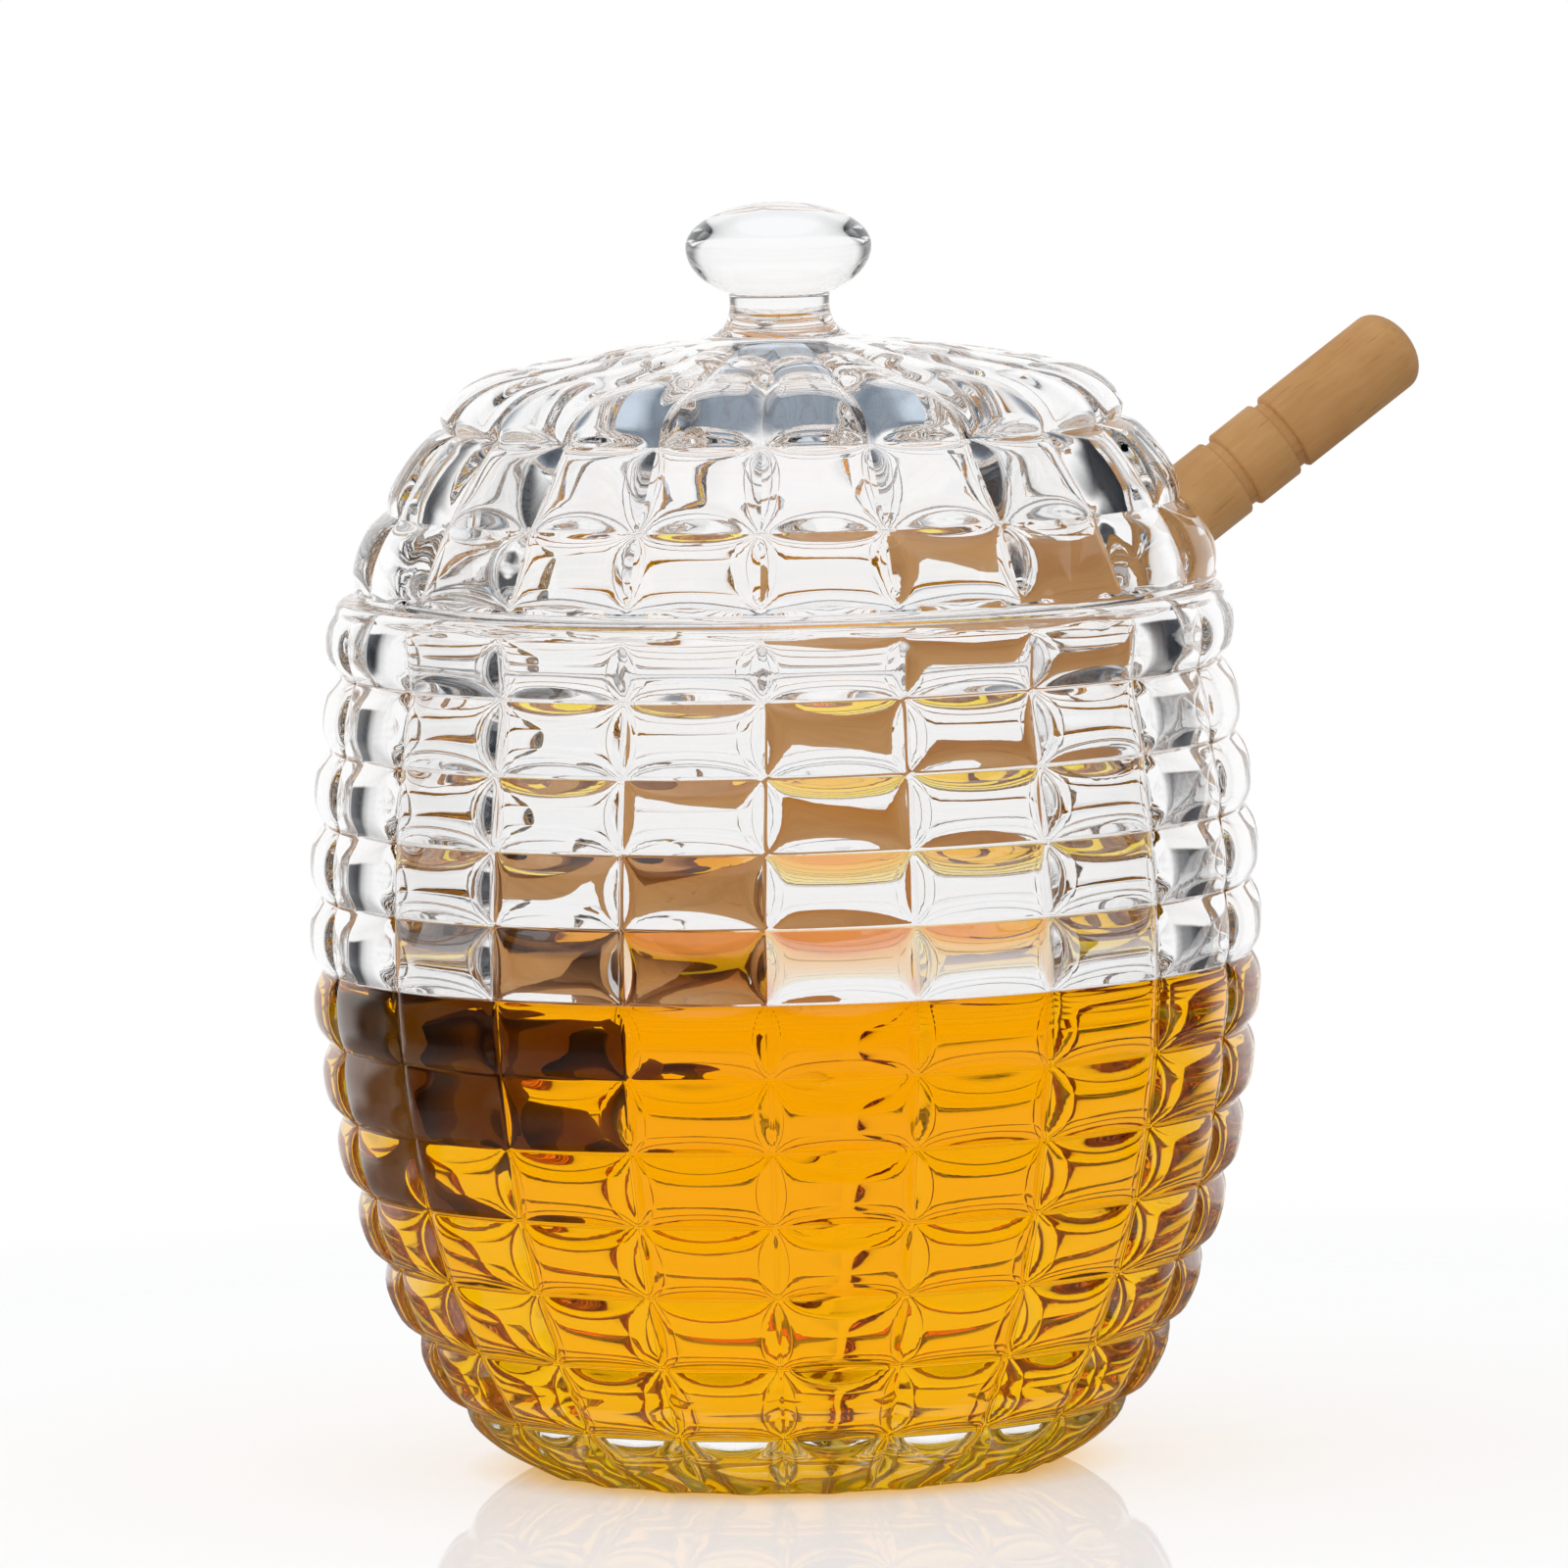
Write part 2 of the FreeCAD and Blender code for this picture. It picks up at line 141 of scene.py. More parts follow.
KNOB_CENTRE = 5.55
KNOB_START = -56             # its outline starts this far below its widest ring, degrees of the oval
SEAT_GAP = 0.05              # between faces that would lie in one plane
NOTCH_SIDE_GAP = 1.3         # between the notch and the dipper's handle
NOTCH_TOP_GAP = 2.9          # and above it
NOTCH_DEPTH = 12.0           # the notch starts this far inside the mouth
NOTCH_REACH = 9              # and its cutter ends this far outside it
NOTCH_BELOW = 1              # and this far under the plug

# ---- Honey ----
HONEY_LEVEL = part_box("honey")[1].z / MM
OVERLAP = 0.3                # the honey reaches this far into the glass, so that no air shows
CORNER_OVERLAP = (0.5, 0.6)  # shares of it, outwards and downwards, in the curve over the floor
HONEY_WALL_STEPS = 14
HONEY_SPIN_STEPS = 144

# ---- Dipper ----
DIPPER_LENGTH = 132.6
DIPPER_SLOPE = 35.2          # above the level, degrees
DIPPER_AZIMUTH = 105.6
CROSS_Z = 66.83              # height at which the dipper's axis crosses the jar's
HEAD_REACH = 48.17           # from there down to the end of its head
HANDLE_RADIUS = 4.5
HANDLE_CAP = 3.0
RING_PLACES = (24.6, 18.0)   # turned rings, from the handle's end
RING_WIDTH = 1.35
RING_DEPTH = 0.55
RING_SLOPE = ((0.12, 0.0), (-0.03, 0.12), (-0.2, RING_DEPTH))   # a ring's side: outwards, depth
HEAD_LENGTH = 35.0
HEAD_RADIUS = 11.4
HEAD_END_RADIUS = 8.2
HEAD_END_FLAT = 1.0
DISC_COUNT = 7
DISC_SHARES = (0.08, 0.2, 0.5, 0.8, 0.92)    # places over one disc's thickness
DISC_SWELL = 0.35            # rounding of a disc's edge
DISC_EDGE = 0.12             # and a little more at its two corners
SLOT_WIDTH = 2.2
CORE_RADIUS = 5.0
TOOL_ROUND = 0.3             # corners as the turning tool leaves them
HEAD_SHOULDER = 2.0          # from the head up to the handle
HANDLE_FOOT = (0.25, 0.4)    # width and half-height of the curve there
DIPPER_SPIN_STEPS = 96

# ---- Studio ----
SHEET_RADIUS = 500
SHEET_FADE = (120, 240)      # distances from the jar's axis between which the sheet fades out
PAINTED_LIGHT_SPAN = (22, 36)        # and between which the painted honey-coloured light on it fades to white
SHEET_SEEN = 0.45            # share of plain white that the camera sees in the sheet
SHEET_SEEN_THROUGH = 0.7     # the same for rays through glass
SHEET_DIMMED = 0.75          # share taken from the sheet in the glass's own gloss
CAMERA_PLACE = (0, -1740, 231)
CAMERA_PITCH = 5.247         # downwards, degrees
CAMERA_ROLL = -1.223         # degrees
CAMERA_LENS = 384.2

row_pitch = (JAR_HEIGHT - BASE_ROW_HEIGHT) / ROW_COUNT
column_pitch = 360.0 / COLUMN_COUNT
spin_steps = COLUMN_COUNT * COLUMN_STEPS
inner_radius = VALLEY_RADIUS - WALL
turn_to_front = math.radians(-90)            # azimuth 0 is the front, -Y


def valley_at(z):
    """Radius of the barrel at the bottom of its grooves."""
    half = UPPER_HALF if z > WIDEST_Z else LOWER_HALF
    return VALLEY_RADIUS * math.sqrt(1 - ((z - WIDEST_Z) / half) ** 2)


mouth_radius = valley_at(JAR_HEIGHT) - RIM_WALL


def inner_at(z):
    """Radius of the jar's smooth inner wall."""
    if z > WIDEST_Z:
        drop = 1 - (mouth_radius / inner_radius) ** 2
        share = (z - WIDEST_Z) / (JAR_HEIGHT - RIM_ROUND - WIDEST_Z)
        return inner_radius * math.sqrt(1 - drop * share ** 2)
    return inner_radius * math.sqrt(1 - ((z - WIDEST_Z) / INNER_LOWER_HALF) ** 2)


floor_curve = [(FLOOR_RADIUS - FLOOR_LEAD, FLOOR_THICKNESS), (FLOOR_RADIUS, FLOOR_THICKNESS), *FLOOR_CORNER]
wall_foot_z = FLOOR_THICKNESS + FLOOR_CORNER_HEIGHT


# ---------------------------------------------------------------- outlines
class Station:
    """One point of an outline. dome, ring and upright hold how far the cells may rise over it."""

    def __init__(self, r, z, out=(1.0, 0.0), dome=0.0, ring=0.0, upright=0.0, relief=False):
        self.r, self.z, self.out = r, z, out
        self.dome, self.ring, self.upright, self.relief = dome, ring, upright, relief


def plain(points):
    """Stations with no cells on them."""
    return [Station(r, z) for r, z in points]


def spread(count):
    """Shares from 0 to 1, closer together at both ends."""
    turns = [2 * math.pi * i / count for i in range(count + 1)]
    return [i / count - CROWDING * math.sin(turn) / (2 * math.pi) for i, turn in enumerate(turns)]


def between(low, high, share):
    """The point at a share of the way from one point to another."""
    return low[0] + (high[0] - low[0]) * share, low[1] + (high[1] - low[1]) * share


def smooth_run(points, steps=4):
    """A smooth curve through points, with that many steps between each two."""
    padded = [points[0]] + points + [points[-1]]
    run = []
    for corners in zip(padded, padded[1:], padded[2:], padded[3:]):
        for i in range(steps):
            t = i / steps
            run.append(tuple(0.5 * (2 * b + (c - a) * t + (2 * a - 5 * b + 4 * c - d) * t * t
                             + (3 * b - a - 3 * c + d) * t ** 3) for a, b, c, d in zip(*corners)))
    return run + [points[-1]]


def oval(r, z, half_width, half_height, start, end, steps):
    """Points on an ellipse, from one angle to another, in degrees above +X."""
    turns = [math.radians(start + (end - start) * i / steps) for i in range(steps + 1)]
    return [(r + half_width * math.cos(a), z + half_height * math.sin(a)) for a in turns]


def outward(low, high):
    """Length of a chord going up, and its direction out of the glass."""
    run, rise = high[0] - low[0], high[1] - low[1]
    length = math.hypot(run, rise)
    return length, (rise / length, -run / length)


def cell_row(low, high, steps):
    """A full row of cells between two ring grooves."""
    length, out = outward(low, high)
    row = []
    for share in spread(steps)[:-1]:
        edge = min(share, 1 - share) * length
        dome = CELL_RISE - DOME_UP * (1 - 2 * edge / length) ** 2
        row.append(Station(*between(low, high, share), out, dome, RING_BEVEL * edge, 0.0, True))
    return row


def rim_row(low, edge, upward):
    """The row beside a rim, from its ring groove to the rounded edge at the rim."""
    side = 1 if upward else -1
    turn = (edge[0] + OUTER_ROUND, edge[1] - side * OUTER_ROUND)
    length, out = outward(low, turn) if upward else outward(turn, low)
    row = []
    for share in spread(ROW_STEPS)[:-1]:
        along = share * length
        dome = CELL_RISE * (1 - share ** RIM_FALL) - DOME_UP * (1 - min(1, 2 * share)) ** 2
        ring = RING_BEVEL * min(along, RIM_STEP + length - along)
        upright = max(0.0, along - (length - GROOVE_FADE)) * GROOVE_FADE_SLOPE
        row.append(Station(*between(low, turn, share), out, dome, ring, upright, True))
    bend = oval(edge[0], edge[1] - side * OUTER_ROUND, OUTER_ROUND, side * OUTER_ROUND, 0, 90, 6)
    return row + plain(bend)


def base_row(edge, groove):
    """The bulged row between the standing face and the first ring groove."""
    length, out = outward(edge, groove)
    row = []
    for share in spread(ROW_STEPS)[:-1]:
        dome = BASE_BULGE * math.sin(math.pi * (share * BASE_BULGE_SPAN)) + BASE_LIFT * share
        ring = RING_BEVEL * (1 - share) * length
        upright = BASE_GROOVE_FADE * (1 - share)
        row.append(Station(*between(edge, groove, share), out, dome, ring, upright, True))
    return row


# ---------------------------------------------------------------- modelling
def deselect():
    """Leaves edit mode and selects nothing."""
    if bpy.context.object and bpy.context.object.mode != "OBJECT":
        bpy.ops.object.mode_set(mode="OBJECT")
    bpy.ops.object.select_all(action="DESELECT")


def pick_up(piece):
    """Selects one piece alone."""
    deselect()
    piece.select_set(True)
    bpy.context.view_layer.objects.active = piece


def spun(name, stations, steps):
    """A closed surface of revolution: one vertex is drawn out along the outline and spun about Z."""
    deselect()
    bpy.ops.mesh.primitive_plane_add(size=MM)
    piece = bpy.context.active_object
    piece.name = piece.data.name = name
    bpy.ops.object.mode_set(mode="EDIT")
    bpy.ops.mesh.select_all(action="SELECT")
    bpy.ops.mesh.merge(type="CENTER")
    spots = [Vector((s.r, 0, s.z)) * MM for s in stations]
    bpy.ops.transform.translate(value=spots[0])
    for a, b in zip(spots, spots[1:]):
        bpy.ops.mesh.extrude_region_move(TRANSFORM_OT_translate={"value": b - a})
    bpy.ops.object.mode_set(mode="OBJECT")
    number = piece.data.attributes.new("station", "INT", "POINT")
    order = [0] * len(spots)
    for vertex in piece.data.vertices:
        order[vertex.index] = min(range(len(spots)), key=lambda i: (vertex.co - spots[i]).length)
    number.data.foreach_set("value", order)
    bpy.ops.object.mode_set(mode="EDIT")
    bpy.ops.mesh.select_all(action="SELECT")
    bpy.ops.mesh.spin(steps=steps, angle=2 * math.pi, center=(0, 0, 0), axis=(0, 0, 1))
    bpy.ops.mesh.select_all(action="SELECT")
    bpy.ops.mesh.remove_doubles(threshold=MM / 1000)
    bpy.ops.mesh.normals_make_consistent(inside=False)
    bpy.ops.object.mode_set(mode="OBJECT")
    bpy.ops.object.shade_smooth()
    return piece


def turned(name, outline, steps):
    """A plain surface of revolution, with no cells to come."""
    piece = spun(name, plain(outline), steps)
    piece.data.attributes.remove(piece.data.attributes["station"])
    return piece


def soft_least(heights):
    """The least of several heights, with the edges between them rounded."""
    total = sum(np.exp(-h / BEVEL_SOFTNESS) for h in heights)
    return -BEVEL_SOFTNESS * np.log(total)


def press_cells(piece, stations, turn, shift=0.0):
    """Raises the cells over the outline, as the mould does: each is a dome cut by its bevels."""
    mesh = piece.data
    count = len(mesh.vertices)
    co = np.zeros(count * 3)
    mesh.vertices.foreach_get("co", co)
    co = co.reshape(-1, 3) / MM
    number = np.zeros(count, int)
    mesh.attributes["station"].data.foreach_get("value", number)

    def at_stations(values):
        return np.array(values)[number]

    radius = np.hypot(co[:, 0], co[:, 1])
    angle = np.arctan2(co[:, 1], co[:, 0])
    pitch = math.radians(column_pitch)
    place = np.mod(angle / pitch, 1.0)
    closer = place - CROWDING * np.sin(2 * math.pi * place) / (2 * math.pi)
    angle = angle + (closer - place) * pitch + math.radians(turn) + turn_to_front
    half = pitch * radius / 2
    aside = np.minimum(closer, 1 - closer) * pitch * radius
    centred = 1 - aside / np.maximum(half, 1e-6)
    dome = at_stations([s.dome for s in stations]) - DOME_ACROSS * centred ** 2
    ring = at_stations([s.ring for s in stations])
    upright = UPRIGHT_BEVEL * aside + at_stations([s.upright for s in stations]) - UPRIGHT_EXTRA
    rise = np.where(at_stations([s.relief for s in stations]), soft_least([dome, ring, upright]), 0.0)
    radius = radius + at_stations([s.out[0] for s in stations]) * rise
    co[:, 0] = radius * np.cos(angle) + shift
    co[:, 1] = radius * np.sin(angle)
    co[:, 2] += at_stations([s.out[1] for s in stations]) * rise
    mesh.vertices.foreach_set("co", (co * MM).ravel())
    mesh.attributes.remove(mesh.attributes["station"])
    mesh.update()


# ---------------------------------------------------------------- materials
def colour(hex_code):
    """An sRGB hex colour as linear RGBA."""
    parts = [int(hex_code[i:i + 2], 16) / 255 for i in (1, 3, 5)]
    return tuple(c / 12.92 if c <= 0.04045 else ((c + 0.055) / 1.055) ** 2.4 for c in parts) + (1.0,)


def add_node(material, kind, settings=None, links=None):
    """A node with its settings, and links from other nodes' outputs into its inputs."""
    tree = material.node_tree
    node = tree.nodes.new(kind)
    for key, value in (settings or {}).items():
        if isinstance(key, str) and hasattr(node, key):
            setattr(node, key, value)
        else:
            node.inputs[key].default_value = value
    for key, output in (links or {}).items():
        tree.links.new(output, node.inputs[key])
    return node


def new_material(name):
    """An empty material."""
    material = bpy.data.materials.new(name)
    material.use_nodes = True
    material.node_tree.nodes.clear()
    return material


def finish_material(material, surface, volume=None):
    """Joins the finish, and what fills the piece, to the material's output."""
    out = add_node(material, "ShaderNodeOutputMaterial", None, {"Surface": surface})
    if volume is not None:
        material.node_tree.links.new(volume, out.inputs["Volume"])
    return material


def clear_glass(name, reflection, waves):
    """Clear soda-lime glass, pressed in a mould and fire-polished. Faint waves show in its bright faces."""
    wave_width, wave_depth = 9 * MM, 0.12 * MM
    glass = new_material(name)
    place = add_node(glass, "ShaderNodeTexCoord")
    noise = add_node(glass, "ShaderNodeTexNoise", {"Scale": 1 / wave_width, "Detail": 2.0, "Roughness": 0.4},
                     {"Vector": place.outputs["Object"]})
    bump = add_node(glass, "ShaderNodeBump", {"Strength": waves, "Distance": wave_depth},
                    {"Height": noise.outputs["Fac"]})
    surface = add_node(glass, "ShaderNodeBsdfPrincipled",
                       {"Base Color": colour("#FFFFFF"), "Roughness": 0.0, "IOR": 1.5,
                        "Transmission Weight": 1.0, "Specular Tint": colour(reflection)},
                       {"Normal": bump.outputs["Normal"]})
    return finish_material(glass, surface.outputs["BSDF"])


def liquid_honey():
    """Clear acacia honey: it takes the blue at once, and the green with the depth that light crosses.

    It lies against glass of nearly its own density, so its faces give back no light of their own,
    apart from its open face.
    """
    open_face_from, open_face_to = (HONEY_LEVEL - 0.2) * MM, (HONEY_LEVEL - 0.05) * MM
    skin_width, skin_depth = 22 * MM, 0.1 * MM
    honey = new_material("liquid acacia honey")
    place = add_node(honey, "ShaderNodeTexCoord")
    height = add_node(honey, "ShaderNodeSeparateXYZ", None, {0: place.outputs["Object"]})
    open_face = add_node(honey, "ShaderNodeMapRange", {1: open_face_from, 2: open_face_to},
                         {0: height.outputs["Z"]})
    skin = add_node(honey, "ShaderNodeTexNoise", {"Scale": 1 / skin_width, "Detail": 1.0},
                    {"Vector": place.outputs["Object"]})
    bump = add_node(honey, "ShaderNodeBump", {"Strength": 0.1, "Distance": skin_depth},
                    {"Height": skin.outputs["Fac"]})
    surface = add_node(honey, "ShaderNodeBsdfPrincipled",
                       {"Base Color": colour("#FFFFFF"), "Roughness": 0.0, "IOR": 1.49,
                        "Transmission Weight": 1.0},
                       {"Normal": bump.outputs["Normal"], "Specular Tint": open_face.outputs["Result"]})
    depth = add_node(honey, "ShaderNodeVolumeAbsorption",
                     {"Color": (0.9992, 0.9564, 0.0, 1.0), "Density": 250.0})
    return finish_material(honey, surface.outputs["BSDF"], depth.outputs["Volume"])


def beech():
    """Turned beech, sanded and bare: light tan, with fine fibres and short dark flecks along the dipper.

    The part that lies in the honey is soaked and dark.
    """
    fibre_width, fleck_width, patch_width, fibre_depth = 0.55 * MM, 0.4 * MM, 9 * MM, 0.05 * MM
    dry_from, soaked_from = (HONEY_LEVEL + 1.5) * MM, (HONEY_LEVEL - 0.5) * MM
    stretch = 0.09               # fibres are about eleven times as long as they are wide
    wood = new_material("turned beech")
    place = add_node(wood, "ShaderNodeTexCoord")
    level = add_node(wood, "ShaderNodeMapping", {"Rotation": (0.0, 0.0, -math.radians(DIPPER_AZIMUTH - 90))},
                     {"Vector": place.outputs["Object"]})
    along = add_node(wood, "ShaderNodeMapping", {"Rotation": (0.0, math.radians(DIPPER_SLOPE), 0.0)},
                     {"Vector": level.outputs["Vector"]})
    thin = add_node(wood, "ShaderNodeMapping", {"Scale": (stretch, 1.0, 1.0)},
                    {"Vector": along.outputs["Vector"]})
    fibre = add_node(wood, "ShaderNodeTexNoise", {"Scale": 1 / fibre_width, "Detail": 6.0, "Roughness": 0.6},
                     {"Vector": thin.outputs["Vector"]})
    fleck = add_node(wood, "ShaderNodeTexNoise", {"Scale": 1 / fleck_width, "Detail": 2.0},
                     {"Vector": thin.outputs["Vector"]})
    patch = add_node(wood, "ShaderNodeTexNoise", {"Scale": 1 / patch_width, "Detail": 3.0},
                     {"Vector": along.outputs["Vector"]})
    tones = []
    for source, places, hex_codes in ((fibre, (0.25, 0.75), ("#B37F48", "#C99A62")),
                                      (patch, (0.35, 0.65), ("#B8864D", "#CFA169"))):
        tone = add_node(wood, "ShaderNodeValToRGB", None, {"Fac": source.outputs["Fac"]})
        for element, position, hex_code in zip(tone.color_ramp.elements, places, hex_codes):
            element.position, element.color = position, colour(hex_code)
        tones.append(tone.outputs["Color"])
    flecks = add_node(wood, "ShaderNodeMapRange", {1: 0.66, 2: 0.72, 3: 0.0, 4: 0.45},
                      {0: fleck.outputs["Fac"]})
    mixed = add_node(wood, "ShaderNodeMix", {"data_type": "RGBA", 0: 0.5}, {6: tones[0], 7: tones[1]})
    spotted = add_node(wood, "ShaderNodeMix", {"data_type": "RGBA", 7: colour("#8F6238")},
                       {0: flecks.outputs["Result"], 6: mixed.outputs[2]})
    height = add_node(wood, "ShaderNodeSeparateXYZ", None, {0: place.outputs["Object"]})
    soaked = add_node(wood, "ShaderNodeMapRange", {1: dry_from, 2: soaked_from, 3: 0.0, 4: 0.9},
                      {0: height.outputs["Z"]})
    wet = add_node(wood, "ShaderNodeMix", {"data_type": "RGBA", 7: colour("#4E1D05")},
                   {0: soaked.outputs["Result"], 6: spotted.outputs[2]})
    bump = add_node(wood, "ShaderNodeBump", {"Strength": 0.5, "Distance": fibre_depth},
                    {"Height": fibre.outputs["Fac"]})
    surface = add_node(wood, "ShaderNodeBsdfPrincipled", {"Roughness": 0.62, "Specular IOR Level": 0.35},
                       {"Base Color": wet.outputs[2], "Normal": bump.outputs["Normal"]})
    return finish_material(wood, surface.outputs["BSDF"])


def put(piece, material, node):
    """Gives a piece its material and puts it in the place of its CAD node."""
    piece.data.materials.clear()
    piece.data.materials.append(material)
    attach(piece, "root")
    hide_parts(node)


# ---------------------------------------------------------------- jar
def jar_stations():
    """From the middle of the standing face up the outside, over the rim and down to the inner floor."""
    grooves = [(valley_at(z), z) for z in (BASE_ROW_HEIGHT + row_pitch * i for i in range(ROW_COUNT))]
    stations = plain([(0, 0), (BASE_RADIUS * 0.5, 0), (BASE_RADIUS - BASE_EDGE, 0)])
    stations += base_row((BASE_RADIUS, 0.0), grooves[0])
    for low, high in zip(grooves, grooves[1:]):
        stations += cell_row(low, high, ROW_STEPS)
    stations += rim_row(grooves[-1], (valley_at(JAR_HEIGHT) + RIM_LEDGE, JAR_HEIGHT), True)
    wall_top_z = JAR_HEIGHT - RIM_ROUND
    lip = oval(mouth_radius + RIM_ROUND, wall_top_z, RIM_ROUND, RIM_ROUND, 90, 180, 6)
    drop = wall_top_z - wall_foot_z
    heights = [wall_top_z - drop * i / JAR_WALL_STEPS for i in range(1, JAR_WALL_STEPS + 1)]
    wall = [(inner_at(z), z) for z in heights]
    corner = smooth_run(wall[-2:] + floor_curve[::-1])[5:-4]
    inner_floor = [(FLOOR_RADIUS * 0.5, FLOOR_THICKNESS), (0, FLOOR_THICKNESS)]
    return stations + plain(lip + wall + corner + inner_floor)


def wetted(face):
    """Whether a face of the jar belongs to the inner wall or floor, below the honey's level."""
    middle = face.center / MM
    near = inner_at(middle.z) + WETTED_MARGIN
    return FLOOR_THICKNESS - WETTED_DROP < middle.z < HONEY_LEVEL and math.hypot(middle.x, middle.y) < near


def pressed_jar(glass):
    """The jar. Where honey wets its inner face, the glass gives back no light."""
    stations = jar_stations()
    jar = spun("pressed_glass_jar", stations, spin_steps)
    press_cells(jar, stations, COLUMN_TURN)
    put(jar, glass, "jar")
    jar.data.materials.append(clear_glass("soda-lime glass wetted by honey", "#000000", 0.0))
    for face in jar.data.polygons:
        face.material_index = int(wetted(face))


# ---------------------------------------------------------------- honey
def honey_outline():
    """From the middle of the floor up the wall to the level, and back to the middle."""
    rise = HONEY_LEVEL - wall_foot_z
    heights = [wall_foot_z + rise * i / HONEY_WALL_STEPS for i in range(HONEY_WALL_STEPS + 1)]
    wall = [(inner_at(z) + OVERLAP, z) for z in heights]
    out, down = OVERLAP * CORNER_OVERLAP[0], OVERLAP * CORNER_OVERLAP[1]
    curve = smooth_run(floor_curve + [(inner_at(wall_foot_z), wall_foot_z)])[:-1]
    corner = [(r + out, z - down) for r, z in curve]
    bottom_z = FLOOR_THICKNESS - OVERLAP
    top = [(inner_at(HONEY_LEVEL) * share, HONEY_LEVEL) for share in (0.99, 0.9, 0.5, 0)]
    return [(0, bottom_z), (FLOOR_RADIUS * 0.5, bottom_z)] + corner + wall + top


# ---------------------------------------------------------------- lid
lower_groove = (valley_at(JAR_HEIGHT + LID_GROOVES[0]), JAR_HEIGHT + LID_GROOVES[0])
upper_groove = (lower_groove[0] - TOP_GROOVE_INSET, JAR_HEIGHT + LID_GROOVES[1])
crown_radius = upper_groove[0] + SHOULDER_LIP - SHOULDER_WIDTH
crown_z = JAR_HEIGHT + LID_GROOVES[1] + SHOULDER_HEIGHT
foot_z = crown_z + CROWN_RISE
crown_run = crown_radius - FOOT_RADIUS


def shoulder_row():
    """The top row: from its ring groove over the shoulder and onto the crown, where it fades."""
    row = []
    for i in range(SHOULDER_STEPS):
        turn = math.radians(90 * (i / SHOULDER_STEPS) ** SHOULDER_CROWDING)
        out = (math.cos(turn) / SHOULDER_WIDTH, math.sin(turn) / SHOULDER_HEIGHT)
        size = math.hypot(*out)
        r = crown_radius + (SHOULDER_WIDTH - SHOULDER_VALLEY) * math.cos(turn)
        z = upper_groove[1] + (SHOULDER_HEIGHT - SHOULDER_VALLEY) * math.sin(turn)
        along = math.hypot(r - upper_groove[0], z - upper_groove[1])
        row.append(Station(r, z, (out[0] / size, out[1] / size), SHOULDER_VALLEY + SHOULDER_START,
                           SHOULDER_START + SHOULDER_BEVEL * along, 0.0, True))
    out = outward((crown_radius, crown_z), (FOOT_RADIUS, foot_z))[1]
    for i in range(CROWN_STEPS + 1):
        share = i / CROWN_STEPS
        r = crown_radius - CROWN_GROOVE * share
        z = crown_z + CROWN_RISE * (crown_radius - r) / crown_run
        depth = SHOULDER_VALLEY * (1 - share) ** CROWN_FADE
        row.append(Station(r - out[0] * depth, z - out[1] * depth, out, depth + CROWN_DOME, NO_BEVEL,
                           share * CROWN_DOME, True))
    return row


def knob_outline():
    """Over the plain crown, up the foot and the neck, and round the knob."""
    crown = [(FOOT_RADIUS + lead, foot_z - CROWN_RISE * lead / crown_run) for lead in CROWN_LEAD]
    neck_z = foot_z + FOOT_HEIGHT
    foot = [(FOOT_RADIUS, foot_z), (FOOT_CURVE[0], foot_z + FOOT_CURVE[1]),
            (NECK_RADIUS + NECK_FLARE, neck_z), (NECK_RADIUS, neck_z + NECK_HEIGHT),
            (NECK_RADIUS + THROAT[0], neck_z + NECK_HEIGHT + THROAT[1])]
    knob_z = neck_z + NECK_HEIGHT + KNOB_CENTRE
    knob = oval(0, knob_z, KNOB_RADIUS, KNOB_LOWER_HALF, KNOB_START, 0, 12)[:-1]
    knob += oval(0, knob_z, KNOB_RADIUS, KNOB_HALF_HEIGHT, 0, 90, 16)
    return crown + smooth_run(foot + knob[:2])[:-5] + knob


def lid_inside(seat_radius, seat_z):
    """From the middle of the roof down the inside and round the plug, out to the seat."""
    plug_radius = mouth_radius - PLUG_GAP
    bore = plug_radius - PLUG_WALL
    plug_z = JAR_HEIGHT - PLUG_DEPTH
    roof = [(bore, plug_z + LID_FILLET), (bore + ROOF_STEP[0], JAR_HEIGHT + ROOF_STEP[1]),
            (lower_groove[0] - LID_LOW_WALL, lower_groove[1]),
            (upper_groove[0] - LID_WALL, upper_groove[1] - LID_WALL / 2),
            (crown_radius - LID_WALL, crown_z - LID_WALL), (0, crown_z - LID_WALL + ROOF_RISE)]
    plug = [(bore + LID_FILLET, plug_z), (plug_radius - PLUG_CHAMFER[0], plug_z),
            (plug_radius - PLUG_DRAFT, plug_z + PLUG_CHAMFER[1]), (plug_radius, JAR_HEIGHT - PLUG_FILLET[1]),
            (plug_radius + PLUG_FILLET[0], seat_z), (seat_radius - LID_FILLET, seat_z)]
    return smooth_run(roof, 6)[::-1] + plug


def lid_stations():
    """The inside, then the rim row, the full row, the shoulder, the crown and the knob."""
    edge = (valley_at(JAR_HEIGHT) - LID_LEDGE, JAR_HEIGHT + SEAT_GAP)
    return (plain(lid_inside(*edge)) + rim_row(lower_groove, edge, False)[::-1]
            + cell_row(lower_groove, upper_groove, LID_ROW_STEPS) + shoulder_row() + plain(knob_outline()))


